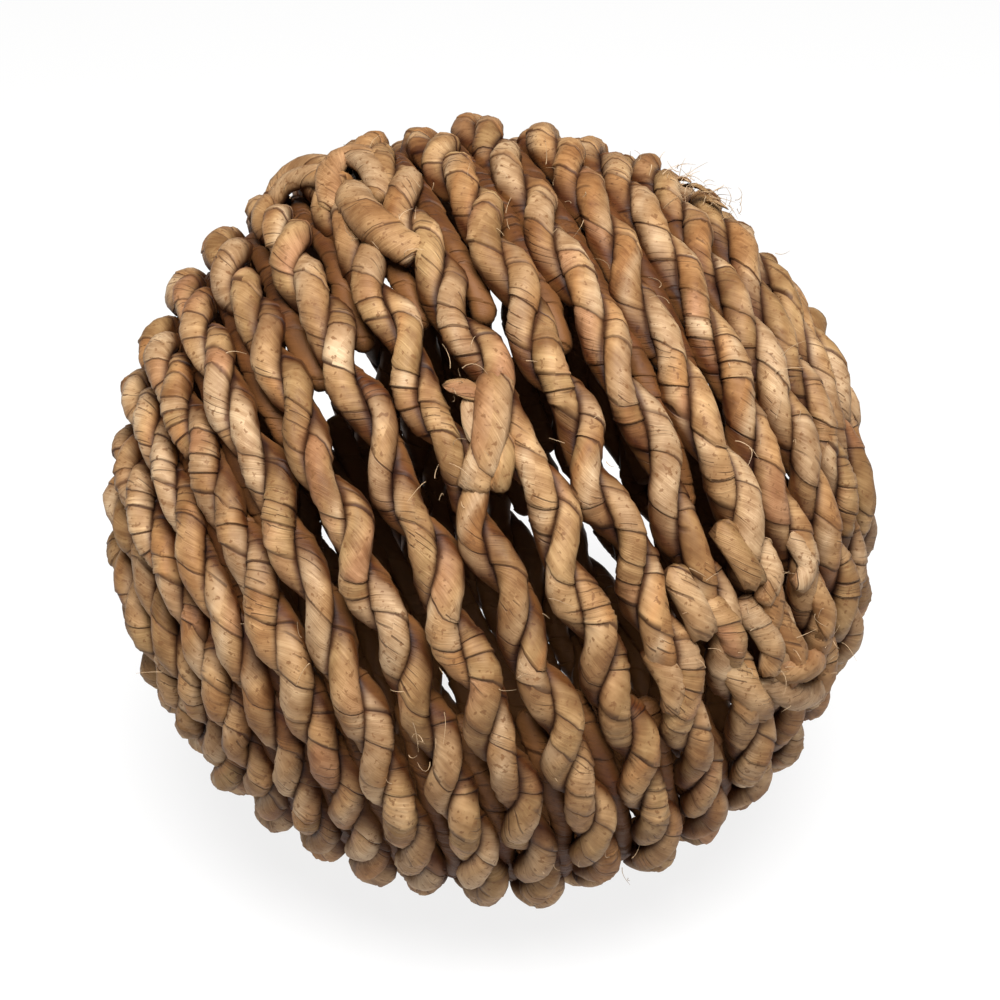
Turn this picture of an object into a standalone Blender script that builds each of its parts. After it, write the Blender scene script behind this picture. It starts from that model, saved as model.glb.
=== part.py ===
"""A hollow decorative ball, wound from lengths of twisted leaf rope in one coil from side to side."""
import math

import bmesh
import bpy
from mathutils import Vector

# Sizes that can be set, in metres, with the tilt in degrees
BALL_DIAMETER = 0.200        # across the widest turns, outside to outside
BALL_LENGTH = 0.193          # along the winding axis, outside to outside
AXIS_TILT = 18.0             # how far the winding axis leans up from level
ROPE_WIDTH = 0.0104          # along the surface of the ball
ROPE_THICKNESS = 0.0105      # from the hollow to the outside
ROW_SPACING = 0.0137         # from one turn to the next, on average
BEND_SPACING = 0.0162        # length of rope from one side bend to the next
RISE = 0.0008                # how far a turn rises and sinks over its neighbours
REST_DEPTH = 0.0020          # how deep the rope is pressed flat where the ball rests
CONTACT_GAP = 0.0004         # kept where turns touch and where lengths meet end to end
END_WIDTH = 0.0045           # the rope is drawn in where the coil starts and stops, to curl up tightly
ROPE_LENGTHS = 7             # lengths of rope, end to end along the coil

# Shares and counts of the rope's form
CORNER = math.tan(math.radians(22.5))    # half the side of an octagon, as a share of its half width
ROW_SPREAD = 0.06                        # turns lie this much looser round the middle, and tighter at the ends
FEWEST_BENDS = 11                        # in the small turns at the two ends
BENDS_STEP = 6                           # turns of like size share one odd number of bends
RISES_PER_TURN = 5
RISE_SHIFT = 2.4                         # radians that the rises move on from turn to turn
END_TAPER = 0.5                          # of a turn, along which the drawn-in end widens
END_REACH = 0.6                          # from the coil's axis to its end, as a share of the end's width
END_ROOM = 0.45                          # of a bend's spacing, kept from a length's end to its nearest bend
SHARP_ANGLE = 50.0                       # degrees between faces, past which an edge stays sharp
LEAF_ROUGHNESS = 0.62
HALVINGS = 40                            # enough to find a turn to a fraction of a hair

# Colours of the dried leaf, one for each length, from straw to brown
LEAF_TONES = ((0.50, 0.31, 0.15), (0.46, 0.28, 0.14), (0.53, 0.34, 0.18), (0.44, 0.26, 0.12))

# The coil's own frame: its axis, the way down at right angles to it, and the level way across
tilt = math.radians(AXIS_TILT)
axis = Vector((math.cos(tilt), 0.0, math.sin(tilt)))
down = Vector((math.sin(tilt), 0.0, -math.cos(tilt)))
across = Vector((0.0, 1.0, 0.0))

# The middle line of the rope lies on a slightly flattened ball
wide_radius = (BALL_DIAMETER - ROPE_THICKNESS) / 2
long_radius = (BALL_LENGTH - ROPE_THICKNESS) / 2
end_radius = END_REACH * END_WIDTH
half_outline = math.pi * (wide_radius + long_radius) / 2
TURNS = round((half_outline - 2 * end_radius) / ROW_SPACING)
start_polar = math.pi * end_radius / half_outline
polar_span = math.pi - 2 * start_polar

# The ball's middle stands over the origin, as high as its tilted outline reaches down, less the flat
outline_reach = math.hypot(BALL_DIAMETER / 2 * math.cos(tilt), BALL_LENGTH / 2 * math.sin(tilt))
middle = Vector((0.0, 0.0, outline_reach - REST_DEPTH))

# The angle from the winding axis at which the ball rests on a turn
rest_polar = math.pi - math.atan2(long_radius * math.cos(tilt), wide_radius * math.sin(tilt))


def clear_the_file():
    for thing in list(bpy.data.objects):
        bpy.data.objects.remove(thing, do_unlink=True)


def leaf_material(name, tone):
    material = bpy.data.materials.new(name)
    material.use_nodes = True
    shader = material.node_tree.nodes["Principled BSDF"]
    shader.inputs["Base Color"].default_value = (*tone, 1.0)
    shader.inputs["Roughness"].default_value = LEAF_ROUGHNESS
    shader.inputs["Metallic"].default_value = 0.0
    return material


def polar_at(turn):
    """The angle from the winding axis, which grows a little faster round the middle of the ball."""
    share = turn / TURNS
    return start_polar + polar_span * (share - ROW_SPREAD * math.sin(2 * math.pi * share) / (2 * math.pi))


def turn_at(polar):
    """The turn that lies at an angle from the winding axis, found by halving."""
    low = 0.0
    high = float(TURNS)
    for halving in range(HALVINGS):
        turn = (low + high) / 2
        if polar_at(turn) < polar:
            low = turn
        else:
            high = turn
    return turn


def turn_radius(turn):
    return wide_radius * math.sin(polar_at(turn))


def row_pitch(turn):
    """The distance to the next turn, along the surface of the ball."""
    polar = polar_at(turn)
    growth = polar_span / TURNS * (1 - ROW_SPREAD * math.cos(2 * math.pi * turn / TURNS))
    return growth * math.hypot(wide_radius * math.cos(polar), long_radius * math.sin(polar))


def route_frame(turn):
    """The coil's middle line at a turn: its place, the way out of the ball, and the way along the axis side."""
    polar = polar_at(turn)
    angle = 2 * math.pi * (turn - rest_turn)
    round_way = math.cos(angle) * down + math.sin(angle) * across
    place = wide_radius * math.sin(polar) * round_way + long_radius * math.cos(polar) * axis
    outward = (math.sin(polar) / wide_radius * round_way + math.cos(polar) / long_radius * axis).normalized()
    sideways = (wide_radius * math.cos(polar) * round_way - long_radius * math.sin(polar) * axis).normalized()
    return middle + place, outward, sideways


def bends_in_turn(whole_turn):
    """An odd number, so that each turn bends against its neighbours and leaves gaps like laid bricks."""
    girth = 2 * math.pi * turn_radius(whole_turn + 0.5)
    bends = BENDS_STEP * round(girth / BEND_SPACING / BENDS_STEP) + 1
    return max(FEWEST_BENDS, bends)


def side_shift(turn, bends):
    """How far a turn bends before it meets the next one, less what a straight run already cuts across."""
    room = (row_pitch(turn) - ROPE_WIDTH - CONTACT_GAP) / 2
    cut_across = turn_radius(turn) * (1 - math.cos(math.pi / bends)) * abs(math.cos(polar_at(turn)))
    return max(0.0, room - cut_across)


def rope_stations(first, last):
    """Where a length of rope gets its rings: a turn and a side shift for each bend, straight at both ends."""
    half_gap = CONTACT_GAP / 2 / (2 * math.pi)
    start = first + half_gap / turn_radius(first)
    end = last - half_gap / turn_radius(last)
    stations = [(start, 0.0)]
    rest_share = rest_turn - math.floor(rest_turn)
    for whole_turn in range(math.floor(first) - 1, math.ceil(last) + 1):
        bends = bends_in_turn(min(max(whole_turn, 0), TURNS - 1))
        for number in range(bends):
            turn = whole_turn + rest_share + (number + 0.5) / bends
            if start + END_ROOM / bends < turn < end - END_ROOM / bends:
                side = 1 if (number + whole_turn) % 2 == 0 else -1
                stations.append((turn, side * side_shift(turn, bends)))
    stations.append((end, 0.0))
    return stations


def width_at(turn):
    along_taper = min(1.0, min(turn, TURNS - turn) / END_TAPER)
    return END_WIDTH + (ROPE_WIDTH - END_WIDTH) * along_taper


def rope_section(width):
    """An octagon with a flat side outwards: how far sideways and how far out each corner lies."""
    half_width = width / 2
    half_thickness = ROPE_THICKNESS / 2
    quarter = [(half_width, CORNER * half_thickness), (CORNER * half_width, half_thickness)]
    upper = quarter + [(-side, out) for side, out in reversed(quarter)]
    return upper + [(-side, -out) for side, out in upper]


def add_ring(mesh, turn, shift):
    place, outward, sideways = route_frame(turn)
    rise = RISE * math.sin(RISES_PER_TURN * 2 * math.pi * (turn - rest_turn) + RISE_SHIFT * turn)
    ring = []
    for side, out in rope_section(width_at(turn)):
        corner = place + (side + shift) * sideways + (out + rise) * outward
        corner.z = max(corner.z, 0.0)
        ring.append(mesh.verts.new(corner))
    return ring


def build_rope_length(number):
    first = TURNS * (number - 1) / ROPE_LENGTHS
    last = TURNS * number / ROPE_LENGTHS
    mesh = bmesh.new()
    rings = [add_ring(mesh, turn, shift) for turn, shift in rope_stations(first, last)]
    for ring, following in zip(rings, rings[1:]):
        for corner in range(len(ring)):
            beyond = (corner + 1) % len(ring)
            mesh.faces.new((ring[corner], ring[beyond], following[beyond], following[corner]))
    mesh.faces.new(list(reversed(rings[0])))
    mesh.faces.new(rings[-1])
    bmesh.ops.recalc_face_normals(mesh, faces=mesh.faces)
    name = f"rope_length_{number}"
    data = bpy.data.meshes.new(name)
    mesh.to_mesh(data)
    mesh.free()
    rope = bpy.data.objects.new(name, data)
    bpy.context.scene.collection.objects.link(rope)
    data.materials.append(leaf_material(name + "_leaf", LEAF_TONES[number % len(LEAF_TONES)]))
    data.shade_smooth()
    data.set_sharp_from_angle(angle=math.radians(SHARP_ANGLE))


rest_turn = turn_at(rest_polar)
clear_the_file()
for length_number in range(1, ROPE_LENGTHS + 1):
    build_rope_length(length_number)
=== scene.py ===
import math

import bmesh
import bpy
import numpy as np
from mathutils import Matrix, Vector


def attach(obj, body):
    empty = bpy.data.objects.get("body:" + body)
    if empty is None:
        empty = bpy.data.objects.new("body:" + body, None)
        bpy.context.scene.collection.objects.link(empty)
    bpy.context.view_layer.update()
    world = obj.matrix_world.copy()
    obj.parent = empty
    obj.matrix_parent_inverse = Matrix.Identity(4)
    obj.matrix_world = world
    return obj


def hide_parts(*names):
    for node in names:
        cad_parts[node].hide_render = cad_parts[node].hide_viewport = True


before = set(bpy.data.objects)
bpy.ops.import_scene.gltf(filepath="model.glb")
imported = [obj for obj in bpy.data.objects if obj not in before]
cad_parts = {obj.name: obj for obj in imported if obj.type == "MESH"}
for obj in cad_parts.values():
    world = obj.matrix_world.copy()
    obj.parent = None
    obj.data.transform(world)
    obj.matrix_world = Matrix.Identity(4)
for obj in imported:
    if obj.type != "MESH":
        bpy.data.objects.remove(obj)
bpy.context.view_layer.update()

# The rope is two plies of rolled dried leaf, twisted together by hand and wound in one coil round the ball.
# The turns bend from side to side against each other, are glued where they touch, and leave gaps like
# laid bricks. Each ply is a leaf strip wrapped round and round, so its edge shows as a slanting seam.
BALL_DIAMETER = 0.200        # across the widest turns, outside to outside
BALL_LENGTH = 0.193          # along the winding axis, outside to outside
AXIS_TILT = math.radians(18)             # how far the winding axis leans up from level
ROPE_WIDTH = 0.0104          # along the surface of the ball
ROPE_THICKNESS = 0.0105      # from the hollow to the outside
ROPE_LENGTHS = 7             # end to end along the coil
ROW_SPACING = 0.0137         # from one turn to the next, on average
ROW_SPREAD = 0.06            # turns lie this much looser round the middle, and tighter at the ends
REST_DEPTH = 0.0020          # how deep the rope is pressed flat where the ball rests
END_WIDTH = 0.0045           # the rope is drawn in where the coil starts and stops
END_TAPER = 0.5              # of a turn, along which the drawn-in end widens
END_REACH = 0.6              # from the coil's axis to its end, as a share of the end's width
LINE_POINTS = 20000          # along the middle line of the whole coil

# The coil's own frame: its axis, the way down at right angles to it, and the level way across
axis = np.array([math.cos(AXIS_TILT), 0.0, math.sin(AXIS_TILT)])
down = np.array([math.sin(AXIS_TILT), 0.0, -math.cos(AXIS_TILT)])
across = np.array([0.0, 1.0, 0.0])

# The middle line of the rope lies on a slightly flattened ball, which stands over the origin
wide_radius = (BALL_DIAMETER - ROPE_THICKNESS) / 2
long_radius = (BALL_LENGTH - ROPE_THICKNESS) / 2
half_outline = math.pi * (wide_radius + long_radius) / 2
end_radius = END_REACH * END_WIDTH
TURNS = round((half_outline - 2 * end_radius) / ROW_SPACING)
start_polar = math.pi * end_radius / half_outline
polar_span = math.pi - 2 * start_polar
outline_reach = math.hypot(BALL_DIAMETER / 2 * math.cos(AXIS_TILT), BALL_LENGTH / 2 * math.sin(AXIS_TILT))
middle = np.array([0.0, 0.0, outline_reach - REST_DEPTH])
rest_polar = math.pi - math.atan2(long_radius * math.cos(AXIS_TILT), wide_radius * math.sin(AXIS_TILT))


def unit(rows):
    """Rows of three numbers, each made one long."""
    return rows / np.linalg.norm(rows, axis=-1, keepdims=True)


def eased(share):
    """A share from 0 to 1 that starts and ends softly."""
    return share * share * (3 - 2 * share)


def wander(where, spacing, seed):
    """A smooth random line between -1 and 1, with a new value every spacing."""
    values = np.random.default_rng(seed).uniform(-1, 1, int(where.max() / spacing) + 3)
    place = where / spacing
    low = np.floor(place).astype(int)
    share = eased(place - low)
    return values[low] * (1 - share) + values[low + 1] * share


def length_along(points):
    """The distance from a line's start to each of its points."""
    return np.concatenate(([0.0], np.cumsum(np.linalg.norm(np.diff(points, axis=0), axis=1))))


# The smooth middle line of the coil, with the ways out of the ball and across the rope at each point
turns = np.linspace(0, TURNS, LINE_POINTS)
shares = turns / TURNS
polar = start_polar + polar_span * (shares - ROW_SPREAD * np.sin(2 * math.pi * shares) / (2 * math.pi))
rest_turn = np.interp(rest_polar, polar, turns)
angle = 2 * math.pi * (turns - rest_turn)
round_way = np.outer(np.cos(angle), down) + np.outer(np.sin(angle), across)
sine = np.sin(polar)[:, None]
cosine = np.cos(polar)[:, None]
line = middle + wide_radius * sine * round_way + long_radius * cosine * axis
outward = unit(sine / wide_radius * round_way + cosine / long_radius * axis)
sideways = unit(wide_radius * cosine * round_way - long_radius * sine * axis)
rope_along = length_along(line)
drawn_in = END_WIDTH / ROPE_WIDTH + (1 - END_WIDTH / ROPE_WIDTH) * (
    np.minimum(turns, TURNS - turns) / END_TAPER).clip(0, 1)

# In front the winding is loose and open. Away from there the plies grow fuller and the gaps close up.
FRONT_AZIMUTH = math.radians(-16.5)      # the middle of the loose patch
FRONT_ELEVATION = math.radians(30)
LOOSE_PATCH = math.radians(18)           # from its middle, where the rope starts to grow fuller
FULL_PATCH = math.radians(42)            # from its middle, where the rope is as full as it gets
FULLNESS = 0.06                          # how much fuller the plies are there, as a share
front = np.array([math.sin(FRONT_AZIMUTH) * math.cos(FRONT_ELEVATION),
                  -math.cos(FRONT_AZIMUTH) * math.cos(FRONT_ELEVATION), math.sin(FRONT_ELEVATION)])
off_front = np.arccos((outward @ front).clip(-1, 1))
closing = eased(((off_front - LOOSE_PATCH) / (FULL_PATCH - LOOSE_PATCH)).clip(0, 1))
ply_scale = drawn_in * (1 + FULLNESS * closing)

# The rope bends from side to side, an odd number of times in a turn, so that each turn bends against its
# neighbours. It also rises and sinks a little over them, and wanders as rope laid by hand does.
BEND_SPACING = 0.0162        # length of rope from one side bend to the next
BENDS_STEP = 6               # turns of like size share one odd number of bends
FEWEST_BENDS = 11            # in the small turns at the two ends
CONTACT_GAP = 0.0004         # kept where turns touch
FRONT_SWING = 1.0            # of the bends from side to side, as a share of what the rows leave room for
CLOSED_SWING = 0.6           # the same, where the winding is closed
SIDE_UNEVEN = 0.0007         # how far the rope wanders to either side
SIDE_EVERY = 0.045           # length of rope from one such wandering to the next
RISE = 0.0008                # how far a turn rises and sinks over its neighbours
RISES_PER_TURN = 5
RISE_SHIFT = 2.4             # radians that the rises move on from turn to turn
RISE_UNEVEN = 0.0008
RISE_EVERY = 0.030
whole_turns = np.arange(-1, TURNS + 2)
girth_polar = np.interp(np.clip(whole_turns, 0, TURNS - 1) + 0.5, turns, polar)
girths = 2 * math.pi * wide_radius * np.sin(girth_polar)
bends = np.maximum(BENDS_STEP * np.round(girths / BEND_SPACING / BENDS_STEP) + 1, FEWEST_BENDS)
turn_marks = whole_turns + rest_turn - math.floor(rest_turn)
count_marks = np.concatenate(([0.0], np.cumsum(bends)[:-1])) - bends[0] - 0.5
bend_count = np.interp(turns, turn_marks, count_marks)
cut_across = wide_radius * np.sin(polar) * (1 - np.cos(math.pi / np.interp(turns, turn_marks, bends)))
row_pitch = np.gradient(polar, turns) * np.hypot(wide_radius * np.cos(polar), long_radius * np.sin(polar))
side_room = (row_pitch - ROPE_WIDTH - CONTACT_GAP) / 2
side_bend = (side_room - cut_across * np.abs(np.cos(polar))).clip(0, None)
swing = FRONT_SWING + (CLOSED_SWING - FRONT_SWING) * closing
side = side_bend * swing * np.cos(math.pi * bend_count)
side = side + SIDE_UNEVEN * wander(rope_along, SIDE_EVERY, seed=1)
rise = RISE * np.sin(RISES_PER_TURN * angle + RISE_SHIFT * turns)
rise = rise + RISE_UNEVEN * wander(rope_along, RISE_EVERY, seed=3)
rope_line = line + side[:, None] * sideways + rise[:, None] * outward
rope_way = unit(np.gradient(rope_line, axis=0))

# The two plies twist round the rope's middle line a little slower than the rope bends, and not evenly
PLY_OFFSET = 0.0023          # from the rope's middle line to a ply's
TWIST_PER_BEND = 0.81        # half turns of the plies round each other, from one bend to the next
TWIST_UNEVEN = 0.6           # radians
TWIST_EVERY = 0.055          # length of rope from one such unevenness to the next
twist = math.pi * (TWIST_PER_BEND * bend_count + 0.5)
twist = twist + TWIST_UNEVEN * wander(rope_along, TWIST_EVERY, seed=2)


def ply_line(number):
    """The middle line of one of the rope's two plies."""
    turned = twist + number * math.pi
    beside = np.cross(rope_way, outward)
    aside = np.cos(turned)[:, None] * outward + np.sin(turned)[:, None] * beside
    return rope_line + PLY_OFFSET * drawn_in[:, None] * aside


# A ply is a strip of leaf wrapped round and round itself, with wide and narrow wraps mixed
PLY_RADIUS = 0.0033
PLY_UNEVEN = 0.12            # how much a ply swells and thins, as a share
PLY_EVERY = 0.019            # length of ply from one swell to the next
PLY_CORNERS = 4              # of its section
PLY_FLATS = 0.05             # how angular the section is, as a share
FLATS_TURN = 4               # radians that the corners wander round the ply
FLATS_EVERY = 0.040
PRESSED_IN = 0.97            # how near a ply's inner side comes to the rope's middle line, as a share
NARROW_WRAP = 0.0025         # of a strip, from one seam to the next
WIDE_WRAP = 0.0150
WRAP_MIX = (0.8, 0.9)        # the spread between them: numbers under 1 favour both ends of it
SPARE_WRAPS = 4              # past the ply's end
STRIP_EDGE = 0.00035         # how far a strip's edge stands up at the seam
RIDGE = 0.00009              # height of the fine ridges along the strip
SIDES = 14
LINES = np.concatenate(([0.0, 0.02], np.linspace(0.10, 0.97, 9)))    # across a strip, as shares
TIP = 0.0035                 # length over which a ply's end closes
LAP = 0.003                  # of one length over the next
INSIDE_DEPTH = 0.0035        # under the rope's middle line, where the painted shade is darkest
SHADED_FROM = 0.0034         # above the rope's middle line, where the painted shade starts
PATTERN_SHIFT = 37.0         # from ply to ply, so that no two look alike
WELD = 1e-7                  # points closer than this become one
PLY_SEEDS = 3                # in a row, that a ply draws its random numbers from
LENGTH_SEEDS = 10            # from one length's first seed to the next one's
MILLIMETRES = 1000           # to a metre


def at(where, along, rows):
    """Rows of three numbers, read off at places along a line."""
    return np.stack([np.interp(where, along, rows[:, part]) for part in range(3)], axis=-1)


def inwardness(points):
    """How deep points lie towards the hollow: 0 near the rope's outer side, 1 on its inner side."""
    reach = points - middle
    along_axis = reach @ axis
    off_axis = np.sqrt(np.maximum(np.sum(reach * reach, axis=-1) - along_axis ** 2, 0))
    height = (np.hypot(off_axis / wide_radius, along_axis / long_radius) - 1) * wide_radius
    return ((SHADED_FROM - height) / (SHADED_FROM + INSIDE_DEPTH)).clip(0, 1)


def strip_faces(wrap, share, starts, seed):
    """The skin's faces, and for their corners the place on the strip and the millimetres to its edges."""
    rows = len(share)
    step = len(LINES)
    column = np.arange(SIDES)[None, :]
    index = np.arange(rows * SIDES).reshape(rows, SIDES)
    beyond = np.concatenate((index[:-step, 1:], index[step:, :1]), axis=1)
    low = index[:-step - 1]
    high = index[1:-step]
    quads = np.stack((low, high, beyond[1:], beyond[:-1]), axis=-1).reshape(-1, 4)

    first = np.broadcast_to(share[:-step - 1], low.shape)
    second = np.where(share[1:-step] == 0, 1.0, share[1:-step])
    second = np.broadcast_to(second, low.shape)
    left = wrap[:-step - 1] + column / SIDES + PATTERN_SHIFT * seed
    right = left + 1 / SIDES
    strip = np.stack((first, left, second, left, second, right, first, right), axis=-1)
    width = MILLIMETRES * np.diff(starts, append=starts[-1] + WIDE_WRAP)[wrap[:-step - 1]]
    near = np.stack((first, second, second, first), axis=-1) * width[..., None]
    far = width[..., None] - near
    return quads, strip, np.stack((near, far), axis=-1)


def skinned_piece(name, points, quads, layers):
    """A smooth piece, with two numbers at every corner of every face in each layer."""
    data = bpy.data.meshes.new(name)
    data.from_pydata(points.reshape(-1, 3).tolist(), [], quads.tolist())
    for layer, values in layers.items():
        data.uv_layers.new(name=layer).data.foreach_set("uv", values.reshape(-1).astype(np.float32))
    skin = bmesh.new()
    skin.from_mesh(data)
    bmesh.ops.remove_doubles(skin, verts=skin.verts, dist=WELD)
    skin.to_mesh(data)
    skin.free()
    data.shade_smooth()
    piece = bpy.data.objects.new(name, data)
    bpy.context.scene.collection.objects.link(piece)
    return piece


def ply_mesh(name, path, hub, girth, seed, tip_length=TIP, thickness=1.0, wider=1.0):
    """A wrapped strip, as a skin on slanting lines that run on round the ply and close at both ends."""
    random = np.random.default_rng(seed)
    along = length_along(path)
    length = along[-1]
    way = unit(np.gradient(path, axis=0))
    away = path - hub
    away = unit(away - np.sum(away * way, axis=1, keepdims=True) * way)

    # Each wrap runs once round the ply and on into the next one
    mix = random.beta(*WRAP_MIX, int(length / NARROW_WRAP) + SPARE_WRAPS)
    wraps = wider * (NARROW_WRAP + (WIDE_WRAP - NARROW_WRAP) * mix)
    starts = np.cumsum(np.concatenate(([-wraps[0]], wraps)))
    wrap_count = int(np.searchsorted(starts, length)) + 2
    wrap = np.repeat(np.arange(wrap_count), len(LINES))[:, None]
    share = np.tile(LINES, wrap_count)[:, None]
    column = np.arange(SIDES)[None, :]
    place = np.interp(wrap + share + column / SIDES, np.arange(len(starts)), starts).clip(0, length)

    # The ply swells and thins, is a little angular, steps up at the seam, and closes at both ends
    ridges = random.normal(0, RIDGE, (wrap_count + 1, len(LINES)))
    ridge = ridges[:-1].reshape(-1, 1) * (1 - column / SIDES) + ridges[1:].reshape(-1, 1) * column / SIDES
    swell = PLY_UNEVEN * wander(place, PLY_EVERY, seed + 1)
    turned = 2 * math.pi * column / SIDES + FLATS_TURN * wander(place, FLATS_EVERY, seed + 2)
    flats = PLY_FLATS * np.cos(PLY_CORNERS * turned)
    radius = PLY_RADIUS * np.interp(place, along, girth) * (1 + swell + flats)
    radius = radius + STRIP_EDGE * (share - 0.5) + ridge
    tip = (np.minimum(place, length - place) / tip_length).clip(0, 1)
    radius = radius * np.sqrt(1 - (1 - tip) ** 2)

    # Its inner side is pressed flat against the other ply, and nothing goes below the ground
    around = -2 * math.pi * column / SIDES
    out = thickness * np.maximum(radius * np.cos(around), -PRESSED_IN * PLY_OFFSET)
    beside = radius * np.sin(around)
    away_here = at(place, along, away)
    points = at(place, along, path) + out[..., None] * away_here
    points = points + beside[..., None] * np.cross(at(place, along, way), away_here)
    points[..., 2] = points[..., 2].clip(0, None)

    quads, strip, edge = strip_faces(wrap, share, starts, seed)
    # How far the skin faces in towards the other ply, and how deep it lies: masks for the painted shade
    crevice = (-out / PLY_OFFSET).clip(0, 1)
    depth = np.stack((crevice.reshape(-1), inwardness(points).reshape(-1)), axis=-1)[quads.reshape(-1)]
    return skinned_piece(name, points, quads, {"strip": strip, "depth": depth, "edge": edge})


# The leaf is dull and dry, straw to brown, and changes tone along each strip. It has a fine grain, blotches,
# flecks and creases. Shade is painted into its colour: dark seam lines and a darker band beside each, under
# the overlapping strip edge, and darkness between the plies and towards the hollow.
PALE = (0.46, 0.33, 0.200)
STRAW = (0.40, 0.252, 0.121)
HONEY = (0.36, 0.192, 0.076)
OLIVE = (0.32, 0.202, 0.090)
ROSE = (0.40, 0.222, 0.115)
# Nearly black: creases, the painted shadow along each seam, and the painted shade between the plies
SEAM_AND_SHADE = (0.040, 0.012, 0.003)
# Flecks of stain, and the painted shade beside each seam under the overlapping strip edge
STAIN_AND_SHADE = (0.12, 0.050, 0.016)
# Painted shade towards the hollow
HOLLOW_SHADE = (0.13, 0.052, 0.015)
DEEP_SHADE = (0.27, 0.150, 0.062)  # painted shade: times the leaf's own tone, deep between the turns
WHITE = (1.0, 1.0, 1.0)

# Patterns on the flat strip: waves to a millimetre across it, waves to a turn along it, and fineness
FINE_GRAIN = (3.6, 2.4, 4.0)
BROAD_GRAIN = (0.7, 1.1, 3.0)
FOLD_BENDS = (0.16, 0.9, 1.0)
FOLD_PLACES = (0.22, 1.3, 0.0)
FOLD_LAYER = 7.0             # sets the places of the creases apart from the other patterns
FOLDS_TO_MILLIMETRE = 0.55
FOLD_BENDING = 3.0
TONE_WAVES = 0.85            # changes of tone to a turn along the strip

# Patterns through the whole ball: waves to a metre, and fineness
MOTTLE = (170.0, 4.0)
PATCHES = (55.0, 3.0)
FLECKS = (750.0, 2.0)

# How strongly a pattern darkens the leaf, between which of its values, and the tint where it is darkest
BLOTCHES = {
    "fine": (0.55, 0.30, 0.66, (0.52, 0.41, 0.30)),
    "broad": (0.60, 0.30, 0.62, (0.54, 0.43, 0.33)),
    "mottle": (0.75, 0.32, 0.60, (0.54, 0.42, 0.31)),
    "patches": (0.75, 0.36, 0.60, (0.55, 0.45, 0.35)),
}

# Where each kind of mark starts and ends on its own scale. Seams and the painted shade beside them go by
# millimetres from an edge.
TONE_START = 0.28
TONE_RANGE = 0.44
FLECK_BAND = (0.33, 0.39)
SEAM_SHADOW_BAND = (0.05, 0.29)
FADED_BAND = (0.36, 0.58)
LAP_SHADE_BAND = (0.2, 1.0)
CREASE_BAND = (0.03, 0.09)
CREASED_BAND = (0.59, 0.67)
PLY_SHADE_BAND = (0.20, 0.75)
DEEP_SHADE_END = 0.43
SHADE_BAND = (0.50, 0.85)

# How strong the marks and the painted shade are, as shares
FADED_SEAM = 0.35            # where a seam hardly shows
FLECKED = 0.75
LAP_SHADED = 0.35
CREASED = 0.60
SEAM_SHADOWED = 0.95
PLY_SHADED = 0.90
SHADED = 0.96

# The leaf's fine relief, its height in metres, and the dull surface
FINE_RELIEF = 0.8
MOTTLE_RELIEF = 0.6
RELIEF = 0.7
RELIEF_HEIGHT = 0.00030
LEAF_ROUGHNESS = 0.62
LEAF_GLOSS = 0.20


def put(tree, kind, settings=(), **inputs):
    """A shader node with its settings, and its inputs given as plain values or as links."""
    node = tree.nodes.new(kind)
    for key, value in dict(settings).items():
        setattr(node, key, value)
    for key, value in inputs.items():
        socket = node.inputs[int(key[1:]) if key[1:].isdigit() else key]
        if isinstance(value, bpy.types.NodeSocket):
            tree.links.new(value, socket)
        else:
            socket.default_value = value
    return node


def maths(tree, operation, first, second=0.0):
    """One step of arithmetic on values in the shader."""
    return put(tree, "ShaderNodeMath", {"operation": operation}, _0=first, _1=second).outputs[0]


def layer_pair(tree, layer):
    """The two numbers that a layer holds for a point of the skin."""
    pair = put(tree, "ShaderNodeUVMap", {"uv_map": layer})
    parts = put(tree, "ShaderNodeSeparateXYZ", Vector=pair.outputs[0])
    return parts.outputs[0], parts.outputs[1]


def noise(tree, place, scale, fineness):
    """A soft random pattern at a place."""
    return put(tree, "ShaderNodeTexNoise", Vector=place, Scale=scale, Detail=fineness).outputs[0]


def strip_noise(tree, near, run, across_waves, along_waves, fineness, layer=0.0):
    """A pattern on the flat strip, by the millimetres across it and the turns along it."""
    place = put(tree, "ShaderNodeCombineXYZ", X=maths(tree, "MULTIPLY", near, across_waves),
                Y=maths(tree, "MULTIPLY", run, along_waves), Z=layer)
    return noise(tree, place.outputs[0], 1.0, fineness)


def ramp(tree, source, stops):
    """Colours blended from one stop to the next as the source grows."""
    node = put(tree, "ShaderNodeValToRGB", Fac=source)
    elements = node.color_ramp.elements
    while len(elements) < len(stops):
        elements.new(0.5)
    for element, (position, colour) in zip(elements, stops):
        element.position = position
        element.color = (*colour, 1.0)
    return node.outputs["Color"]


def band(tree, source, limits, first, last):
    """A grey that goes from its first to its last value as the source goes through the limits."""
    return ramp(tree, source, [(limits[0], (first,) * 3), (limits[1], (last,) * 3)])


def blend(tree, how, amount, first, second):
    """Two colours put together, mixed or multiplied, through the node's own places for colours."""
    settings = {"data_type": "RGBA", "blend_type": how}
    return put(tree, "ShaderNodeMix", settings, _0=amount, _6=first, _7=second).outputs[2]


def laid_over(tree, colour, mask, strength, tint):
    """A tint laid over a colour where the mask is bright."""
    return blend(tree, "MIX", maths(tree, "MULTIPLY", mask, strength), colour, (*tint, 1.0))


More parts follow.
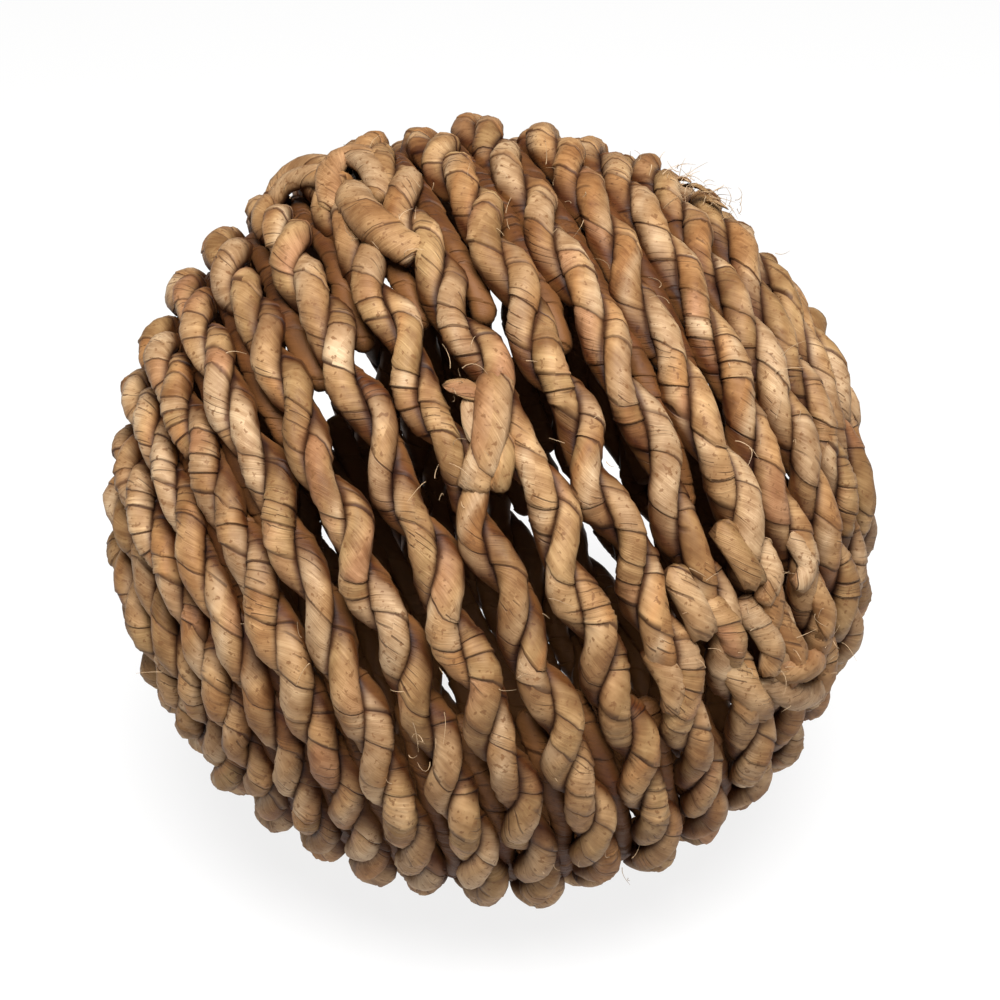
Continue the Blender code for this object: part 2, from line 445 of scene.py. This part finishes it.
def leaf_material(name, tones):
    """Dried leaf that changes along the strip from each tone to the next, with painted shade."""
    material = bpy.data.materials.new(name)
    material.use_nodes = True
    tree = material.node_tree
    shader = tree.nodes["Principled BSDF"]
    run = layer_pair(tree, "strip")[1]
    crevice, inner = layer_pair(tree, "depth")
    near, far = layer_pair(tree, "edge")

    # The tone changes along the strip, and the patterns darken it
    slow = put(tree, "ShaderNodeTexNoise", {"noise_dimensions": "1D"},
               W=maths(tree, "MULTIPLY", run, TONE_WAVES), Scale=1.0, Detail=1.0).outputs[0]
    steps = len(tones) - 1
    stops = [(TONE_START + TONE_RANGE * number / steps, tone) for number, tone in enumerate(tones)]
    colour = ramp(tree, slow, stops)
    here = put(tree, "ShaderNodeTexCoord").outputs["Object"]
    patterns = {
        "fine": strip_noise(tree, near, run, *FINE_GRAIN),
        "broad": strip_noise(tree, near, run, *BROAD_GRAIN),
        "mottle": noise(tree, here, *MOTTLE),
        "patches": noise(tree, here, *PATCHES),
    }
    for pattern, (strength, low, high, dark) in BLOTCHES.items():
        blotches = ramp(tree, patterns[pattern], [(low, dark), (high, WHITE)])
        colour = blend(tree, "MULTIPLY", strength, colour, blotches)
    flecks = band(tree, noise(tree, here, *FLECKS), FLECK_BAND, 1.0, 0.0)
    colour = laid_over(tree, colour, flecks, FLECKED, STAIN_AND_SHADE)

    # Creases are thin bent lines in some places only. Each seam is a dark line of painted shadow under the
    # overlapping strip edge, and it shows more in some places than in others.
    bending = maths(tree, "MULTIPLY", strip_noise(tree, near, run, *FOLD_BENDS), FOLD_BENDING)
    bent = maths(tree, "ADD", maths(tree, "MULTIPLY", near, FOLDS_TO_MILLIMETRE), bending)
    fold_line = maths(tree, "ABSOLUTE", maths(tree, "SUBTRACT", maths(tree, "FRACT", bent), 0.5))
    creased = band(tree, strip_noise(tree, near, run, *FOLD_PLACES, FOLD_LAYER), CREASED_BAND, 0.0, 1.0)
    crease = maths(tree, "MULTIPLY", band(tree, fold_line, CREASE_BAND, 1.0, 0.0), creased)
    seam_shadow = band(tree, maths(tree, "MINIMUM", near, far), SEAM_SHADOW_BAND, 1.0, 0.0)
    seam_shadow = maths(tree, "MULTIPLY", seam_shadow, band(tree, patterns["broad"], FADED_BAND, FADED_SEAM, 1.0))
    # Painted shade: darker beside each seam, under the overlapping strip edge
    colour = laid_over(tree, colour, band(tree, near, LAP_SHADE_BAND, 1.0, 0.0), LAP_SHADED, STAIN_AND_SHADE)
    colour = laid_over(tree, colour, crease, CREASED, SEAM_AND_SHADE)
    colour = laid_over(tree, colour, seam_shadow, SEAM_SHADOWED, SEAM_AND_SHADE)

    # Painted shade: between the plies and towards the hollow the leaf is darker, where little light gets in
    colour = laid_over(tree, colour, band(tree, crevice, PLY_SHADE_BAND, 0.0, 1.0), PLY_SHADED, SEAM_AND_SHADE)
    deep_shade = ramp(tree, inner, [(0.0, WHITE), (DEEP_SHADE_END, DEEP_SHADE)])
    colour = blend(tree, "MULTIPLY", 1.0, colour, deep_shade)
    colour = laid_over(tree, colour, band(tree, inner, SHADE_BAND, 0.0, 1.0), SHADED, HOLLOW_SHADE)
    tree.links.new(colour, shader.inputs["Base Color"])

    # The grain stands up a little, and the seams and creases lie deeper
    height = maths(tree, "ADD", maths(tree, "MULTIPLY", patterns["fine"], FINE_RELIEF),
                   maths(tree, "MULTIPLY", patterns["mottle"], MOTTLE_RELIEF))
    height = maths(tree, "SUBTRACT", height, maths(tree, "MAXIMUM", seam_shadow, crease))
    bump = put(tree, "ShaderNodeBump", Strength=RELIEF, Distance=RELIEF_HEIGHT, Height=height)
    tree.links.new(bump.outputs[0], shader.inputs["Normal"])
    shader.inputs["Roughness"].default_value = LEAF_ROUGHNESS
    shader.inputs["Specular IOR Level"].default_value = LEAF_GLOSS
    return material


leaf_finishes = [
    leaf_material("leaf_straw", (HONEY, STRAW, PALE, STRAW, ROSE)),
    leaf_material("leaf_honey", (OLIVE, HONEY, STRAW, PALE, HONEY)),
    leaf_material("leaf_olive", (ROSE, STRAW, OLIVE, STRAW, PALE)),
]

# Each length of rope is its two plies, which lap a little over the next length's
ply_lines = [ply_line(0), ply_line(1)]
for length_number in range(1, ROPE_LENGTHS + 1):
    ends = np.array([length_number - 1, length_number]) * TURNS / ROPE_LENGTHS
    lap = LAP / (2 * math.pi * wide_radius * np.sin(np.interp(ends, turns, polar)))
    chosen = (turns >= ends[0] - lap[0]) & (turns <= ends[1] + lap[1])
    for ply_number in (0, 1):
        seed = LENGTH_SEEDS * length_number + ply_number
        piece = ply_mesh(f"rope_{length_number}_ply_{ply_number + 1}",
                         ply_lines[ply_number][chosen], rope_line[chosen], ply_scale[chosen], seed)
        piece.data.materials.append(leaf_finishes[(length_number + ply_number) % len(leaf_finishes)])
        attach(piece, "root")
        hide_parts(f"rope_length_{length_number}")

# Single plies of the same leaf lie deeper between the turns and close the gaps. Each follows a turn at half
# a row's distance and sinks away at both ends. There are none in the loose patch in front, in the ragged
# patch at the lower right, and in some places behind the loose patch, where light shows through.
UNDER_DEPTH = 0.0038         # of its middle line under the rope's
UNDER_SCALE = 0.94           # of the size of the rope's own plies
UNDER_WANDER = 0.0014        # how far it wanders to either side
UNDER_EVERY = 0.024          # length of ply from one such wandering to the next
UNDER_FROM = 0.55            # of the way from the loose patch to the closed winding
UNDER_SINK = 0.030           # length of ply over which an end sinks
UNDER_SUNK = 0.004           # how much deeper the very end lies
UNDER_SHORTEST = 0.030
UNDER_SEED = 400
RAGGED_POLAR = math.radians(68)          # from the winding axis to the middle of the ragged patch
RAGGED_AROUND = math.radians(264)        # round the axis, from straight below
RAGGED_REACH = math.radians(15)
HOLE_EVERY = 0.026           # length of rope from one random value to the next, behind the loose patch
HOLES_FROM = 0.52            # places with a greater value stay open, of values between -1 and 1


def ray_at(off_axis, around):
    """The way out of the ball at an angle from the winding axis and one round it from straight below."""
    return np.sin(off_axis) * (np.cos(around) * down + np.sin(around) * across) + np.cos(off_axis) * axis


under_side = row_pitch / 2 + UNDER_WANDER * wander(rope_along, UNDER_EVERY, seed=4)
under_line = line + under_side[:, None] * sideways
present = (closing > UNDER_FROM) & (outward @ ray_at(RAGGED_POLAR, RAGGED_AROUND) < math.cos(RAGGED_REACH))
holes = (off_front > math.pi - FULL_PATCH) & (wander(rope_along, HOLE_EVERY, seed=6) > HOLES_FROM)
present = present & ~holes & (turns > END_TAPER) & (turns < TURNS - 1 - END_TAPER)
edges = np.flatnonzero(np.diff(np.concatenate(([0], present.astype(int), [0]))))
length_marks = np.searchsorted(turns, np.arange(1, ROPE_LENGTHS) * TURNS / ROPE_LENGTHS)
under_number = 0
for first, last in zip(edges[::2], edges[1::2]):
    stops = [first, *[mark for mark in length_marks if first < mark < last], last]
    for start, stop in zip(stops, stops[1:]):
        if rope_along[stop - 1] - rope_along[start] < UNDER_SHORTEST:
            continue
        under_number += 1
        run = rope_along[start:stop]
        sunk = 1 - (np.minimum(run - run[0], run[-1] - run) / UNDER_SINK).clip(0, 1)
        depth = UNDER_DEPTH + UNDER_SUNK * sunk * sunk
        path = under_line[start:stop] - depth[:, None] * outward[start:stop]
        piece = ply_mesh(f"under_ply_{under_number}", path, path - PLY_RADIUS * outward[start:stop],
                         np.full(stop - start, UNDER_SCALE), UNDER_SEED + PLY_SEEDS * under_number)
        piece.data.materials.append(leaf_finishes[under_number % len(leaf_finishes)])
        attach(piece, "root")
        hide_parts(f"rope_length_{min(int(turns[start] * ROPE_LENGTHS / TURNS) + 1, ROPE_LENGTHS)}")

# Loose strands are single plies of the same leaf that lie on the winding: the splice in front with its torn
# leaf, a thick ply and a loop near the top, a crossing on the left edge, torn bits at the upper right, and
# the blunt ends of plies that stand out at the lower right. The long ones are tucked in at both ends.
STRAND_POINTS = 240
STRAND_SMOOTHING = 61        # of those points, over which a corner is rounded
STRAND_SEED = 200
LOOSE_WRAP = 2.2             # times as wide a strip as on the rope
FLAT_TIP = 0.0014            # length over which a cut end closes
TORN_TIP = 0.0075            # the same, where it is torn
PRESSED = 0.85               # thickness as a share of the width, where a strand is pressed on the winding
BIT = 0.35                   # the same, for a torn bit
LEAF = 0.30                  # the same, for torn leaf that lies nearly flat

# For each strand: its size as a share of the rope's own plies, its tip, how flat it is, and where its middle
# line runs, in degrees from the winding axis, degrees round it from straight below, and millimetres above
# the rope's middle line
LOOSE_STRANDS = {
    "splice_strand": (1.18, FLAT_TIP, PRESSED, (
        (87.1, 220.6, 2.0), (88.6, 223.9, 5.0), (90.1, 226.8, 5.2),
        (91.9, 229.0, 4.8), (93.9, 231.0, 3.8), (95.5, 233.0, 1.5))),
    "splice_fold": (0.85, FLAT_TIP, PRESSED, ((89.0, 227.6, 3.0), (90.7, 231.6, 3.6), (93.0, 234.4, 1.5))),
    "torn_leaf": (0.72, TORN_TIP, LEAF, ((88.9, 223.6, 3.0), (90.9, 220.8, 5.0), (93.6, 219.2, 5.0))),
    "torn_leaf_under": (0.72, TORN_TIP, LEAF, ((91.0, 221.0, 3.0), (92.1, 224.9, 4.2), (92.6, 229.0, 3.0))),
    "thick_ply": (1.30, FLAT_TIP, PRESSED, (
        (92.1, 177.0, 0.5), (92.8, 184.7, 4.5), (92.4, 190.0, 5.0),
        (91.1, 194.5, 4.5), (88.6, 198.3, 1.0))),
    "top_loop": (1.00, FLAT_TIP, PRESSED, (
        (95.5, 181.0, 1.0), (94.7, 174.3, 4.5), (91.7, 169.5, 5.5),
        (88.8, 169.8, 5.5), (87.8, 178.0, 4.0), (89.3, 184.0, 0.5))),
    "crossing_ply_1": (0.95, FLAT_TIP, PRESSED, (
        (102.5, 160.0, 1.0), (98.6, 158.0, 5.0), (94.6, 161.0, 5.0), (91.2, 170.0, 2.0))),
    "crossing_ply_2": (0.95, FLAT_TIP, PRESSED, (
        (103.2, 164.0, 1.0), (99.0, 164.5, 4.5), (95.4, 168.5, 4.5), (92.3, 176.0, 2.0))),
    "blunt_end_1": (0.98, FLAT_TIP, PRESSED, ((66.2, 251.5, 0.5), (65.8, 257.2, 4.0), (64.9, 262.9, 4.2))),
    "blunt_end_2": (0.88, FLAT_TIP, PRESSED, ((60.8, 257.8, 0.5), (61.7, 263.2, 4.2), (65.0, 266.3, 3.2))),
    "blunt_end_3": (1.02, FLAT_TIP, PRESSED, ((75.4, 253.5, 0.5), (74.9, 259.8, 4.0), (74.6, 265.0, 3.6))),
    "blunt_end_4": (0.98, TORN_TIP, PRESSED, ((72.3, 259.5, 0.5), (71.0, 266.3, 4.2), (71.8, 272.5, 3.4))),
    "blunt_end_5": (1.02, FLAT_TIP, PRESSED, ((67.2, 264.2, 0.5), (65.4, 273.3, 4.2), (67.4, 278.2, 3.4))),
    "blunt_end_6": (0.98, FLAT_TIP, PRESSED, ((62.9, 269.8, 0.5), (61.4, 278.9, 4.2), (64.5, 284.4, 3.0))),
    "blunt_end_7": (1.05, TORN_TIP, PRESSED, ((56.6, 288.5, 2.5), (61.5, 282.4, 4.8), (66.6, 279.0, 1.0))),
    "blunt_end_8": (0.85, FLAT_TIP, PRESSED, ((54.5, 260.8, 0.5), (54.9, 267.2, 4.0), (58.4, 269.2, 3.0))),
    "blunt_end_9": (0.85, FLAT_TIP, PRESSED, ((54.4, 269.5, 0.5), (54.2, 278.1, 4.0), (55.9, 283.2, 3.0))),
    "blunt_end_10": (1.02, FLAT_TIP, PRESSED, ((72.5, 270.0, 0.5), (71.1, 278.4, 4.0), (69.5, 285.0, 3.2))),
    "blunt_end_11": (0.98, FLAT_TIP, PRESSED, ((68.0, 279.0, 0.5), (64.3, 287.2, 4.0), (58.6, 295.7, 2.5))),
    "torn_bit_1": (0.60, TORN_TIP, BIT, ((41.5, 179.5, 2.0), (40.5, 182.5, 4.6), (39.5, 186.0, 4.8))),
    "torn_bit_2": (0.50, TORN_TIP, BIT, ((38.5, 184.0, 2.0), (38.4, 187.5, 4.4), (37.0, 190.0, 4.6))),
    "torn_bit_3": (0.55, TORN_TIP, BIT, ((43.8, 178.5, 2.0), (42.4, 181.5, 4.4), (42.8, 184.5, 5.0))),
    "blunt_end_12": (0.98, FLAT_TIP, PRESSED, ((81.9, 262.4, 0.5), (81.0, 268.4, 4.0), (82.6, 273.0, 3.2))),
}


def strand_path(marks):
    """The strand's rounded middle line, and a line a little deeper that tells it which side is inwards."""
    spread = np.linspace(0, len(marks) - 1, STRAND_POINTS)
    rows = [np.interp(spread, range(len(marks)), column) for column in zip(*marks)]
    margin = STRAND_SMOOTHING // 2
    rows = [np.convolve(np.pad(row, margin, "reflect", reflect_type="odd"),
                        np.full(STRAND_SMOOTHING, 1 / STRAND_SMOOTHING), "valid") for row in rows]
    ray = ray_at(np.radians(rows[0])[:, None], np.radians(rows[1])[:, None])
    lift = rows[2][:, None] / MILLIMETRES
    return middle + (wide_radius + lift) * ray, middle + (wide_radius + lift - PLY_RADIUS) * ray


for strand_number, (name, (scale, tip_length, thickness, marks)) in enumerate(LOOSE_STRANDS.items()):
    path, hub = strand_path(marks)
    piece = ply_mesh(name, path, hub, np.full(len(path), scale), STRAND_SEED + PLY_SEEDS * strand_number,
                     tip_length, thickness, LOOSE_WRAP)
    piece.data.materials.append(leaf_finishes[strand_number % len(leaf_finishes)])
    turn = np.interp(math.radians(marks[1][0]), polar, turns)
    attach(piece, "root")
    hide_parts(f"rope_length_{int(turn * ROPE_LENGTHS / TURNS) + 1}")

# Fine fibres of the leaf stand off the rope where it is frayed. Each is a three-sided hair that bends as
# it goes and thins towards its end.
FIBRE_RADIUS = 0.00011
FIBRE_THINNING = 0.8         # how much of its thickness a fibre loses on the way, as a share
FIBRE_LENGTH = 0.007
FIBRE_LENGTHS = (0.3, 1.2)   # from the shortest to the longest, as shares of that
FIBRE_ROOTS = (0.003, 0.006)             # above the rope's middle line, from the lowest to the highest
FIBRE_STAND = 0.7            # how much a fibre stands up rather than lies
FIBRE_CURL = 0.28            # how much it bends at each step
FIBRE_STEPS = 7
FIBRE_SIDES = 3
FIBRE_COLOUR = (0.30, 0.20, 0.11)
FIBRE_ROUGHNESS = 0.7
NUDGE = 1e-6                 # so that a fibre that stands straight up still has a side
FRAYED_SPOTS = (       # degrees from the axis, degrees round it, spread in degrees, how many fibres
    (71, 195, 6, 14), (40, 184, 4, 60), (50, 240, 5, 8), (116, 262, 5, 8),
    (100, 300, 6, 10), (90, 192, 3, 12), (96, 232, 3, 10), (92, 219, 2, 8),
    (70, 268, 6, 18), (60, 285, 5, 12), (94, 165, 4, 10), (85, 235, 28, 30))
fibre_random = np.random.default_rng(5)
fibre_points = []
fibre_faces = []


def add_fibre(ray, place, heading, curl, step):
    """One hair from its root outwards, as rings of points joined by faces."""
    for level in range(FIBRE_STEPS):
        first_side = unit(np.cross(heading, ray) + NUDGE)
        second_side = np.cross(heading, first_side)
        thin = FIBRE_RADIUS * (1 - FIBRE_THINNING * level / FIBRE_STEPS)
        base = len(fibre_points)
        below = base - FIBRE_SIDES
        for corner in range(FIBRE_SIDES):
            turned = 2 * math.pi * corner / FIBRE_SIDES
            corner_place = place + thin * (math.cos(turned) * first_side + math.sin(turned) * second_side)
            corner_place[2] = max(corner_place[2], 0.0)
            fibre_points.append(corner_place.tolist())
        if level:
            for corner in range(FIBRE_SIDES):
                beyond = (corner + 1) % FIBRE_SIDES
                fibre_faces.append((below + corner, below + beyond, base + beyond, base + corner))
        place = place + step * heading
        heading = unit(heading + curl)


for spot_polar, spot_around, spread, count in FRAYED_SPOTS:
    for fibre in range(count):
        off_axis = math.radians(spot_polar + fibre_random.normal(0, spread))
        around = math.radians(spot_around + fibre_random.normal(0, spread))
        ray = ray_at(off_axis, around)
        place = middle + (wide_radius + fibre_random.uniform(*FIBRE_ROOTS)) * ray
        heading = unit(fibre_random.normal(0, 1, 3) + FIBRE_STAND * ray)
        curl = fibre_random.normal(0, FIBRE_CURL, 3)
        step = FIBRE_LENGTH * fibre_random.uniform(*FIBRE_LENGTHS) / FIBRE_STEPS
        add_fibre(ray, place, heading, curl, step)
fibre_data = bpy.data.meshes.new("loose_fibres")
fibre_data.from_pydata(fibre_points, [], fibre_faces)
fibres = bpy.data.objects.new("loose_fibres", fibre_data)
bpy.context.scene.collection.objects.link(fibres)
fibre_material = bpy.data.materials.new("leaf_fibre")
fibre_material.use_nodes = True
fibre_shader = fibre_material.node_tree.nodes["Principled BSDF"]
fibre_shader.inputs["Base Color"].default_value = (*FIBRE_COLOUR, 1)
fibre_shader.inputs["Roughness"].default_value = FIBRE_ROUGHNESS
fibre_data.materials.append(fibre_material)
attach(fibres, "root")
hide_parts("rope_length_4")

# The floor is a wide, plain, nearly white sheet that the ball rests on. It glows of itself, so that the
# ball's shadow on it stays weak.
FLOOR_HALF = 6.0
FLOOR_DROP = 0.0001          # under the ball's flat
FLOOR_COLOUR = (0.15, 0.15, 0.15)
FLOOR_ROUGHNESS = 0.8
FLOOR_GLOW = 0.83
floor_data = bpy.data.meshes.new("floor")
floor_data.from_pydata(
    [(-FLOOR_HALF, -FLOOR_HALF, 0), (FLOOR_HALF, -FLOOR_HALF, 0),
     (FLOOR_HALF, FLOOR_HALF, 0), (-FLOOR_HALF, FLOOR_HALF, 0)],
    [], [(0, 1, 2, 3)])
floor = bpy.data.objects.new("floor", floor_data)
floor.location.z = -FLOOR_DROP
bpy.context.scene.collection.objects.link(floor)
floor_material = bpy.data.materials.new("floor_paper")
floor_material.use_nodes = True
floor_shader = floor_material.node_tree.nodes["Principled BSDF"]
floor_shader.inputs["Base Color"].default_value = (*FLOOR_COLOUR, 1)
floor_shader.inputs["Roughness"].default_value = FLOOR_ROUGHNESS
floor_shader.inputs["Specular IOR Level"].default_value = 0.0
floor_shader.inputs["Emission Color"].default_value = (*WHITE, 1)
floor_shader.inputs["Emission Strength"].default_value = FLOOR_GLOW
floor_data.materials.append(floor_material)

# The camera looks down from in front and to the left, straight over the loose patch of the winding. It
# stands as far off, and frames the ball as large and in the same place, as in the photo.
VIEW_DISTANCE = 0.635        # from the camera to the ball's middle
BALL_PIXEL = (491, 511)      # where the ball's middle shows
OUTLINE_PIXELS = 395         # from there to the ball's edge
FRAME_PIXELS = 1000
SENSOR = 36.0                # millimetres
back = Vector(front)
right = Vector((math.cos(FRONT_AZIMUTH), math.sin(FRONT_AZIMUTH), 0.0))
upward = back.cross(right)
focal_pixels = OUTLINE_PIXELS * math.sqrt((VIEW_DISTANCE / (BALL_DIAMETER / 2)) ** 2 - 1)
pixel_size = VIEW_DISTANCE / focal_pixels
aim = Vector(middle) + (FRAME_PIXELS / 2 - BALL_PIXEL[0]) * pixel_size * right
aim = aim + (BALL_PIXEL[1] - FRAME_PIXELS / 2) * pixel_size * upward
camera_data = bpy.data.cameras.new("camera")
camera_data.sensor_width = SENSOR
camera_data.lens = focal_pixels / FRAME_PIXELS * SENSOR
camera = bpy.data.objects.new("camera", camera_data)
camera.location = Vector(middle) + VIEW_DISTANCE * back
camera.rotation_euler = (camera.location - aim).to_track_quat("Z", "Y").to_euler()
bpy.context.scene.collection.objects.link(camera)
bpy.context.scene.camera = camera

# The light is soft studio light: a wide lamp above and in front, a weaker one at the right, and a pale,
# slightly warm room all round.
KEY_PLACE = (-0.13, -0.54, 1.13)
KEY_SIZE = 0.7
KEY_POWER = 35.0             # watts
FILL_PLACE = (0.9, -0.9, 0.6)
FILL_SIZE = 0.8
FILL_POWER = 1.5
ROOM_COLOUR = (1.0, 0.97, 0.93)
ROOM_STRENGTH = 0.26


def soft_lamp(name, place, size, power):
    """A round lamp that faces the ball's middle."""
    lamp_data = bpy.data.lights.new(name, "AREA")
    lamp_data.shape = "DISK"
    lamp_data.size = size
    lamp_data.energy = power
    lamp = bpy.data.objects.new(name, lamp_data)
    lamp.location = place
    lamp.rotation_euler = (Vector(place) - Vector(middle)).to_track_quat("Z", "Y").to_euler()
    bpy.context.scene.collection.objects.link(lamp)


soft_lamp("key_lamp", KEY_PLACE, KEY_SIZE, KEY_POWER)
soft_lamp("fill_lamp", FILL_PLACE, FILL_SIZE, FILL_POWER)
room = bpy.data.worlds.new("room")
room.use_nodes = True
room.node_tree.nodes["Background"].inputs["Color"].default_value = (*ROOM_COLOUR, 1)
room.node_tree.nodes["Background"].inputs["Strength"].default_value = ROOM_STRENGTH
bpy.context.scene.world = room
bpy.context.scene.view_settings.view_transform = "Standard"
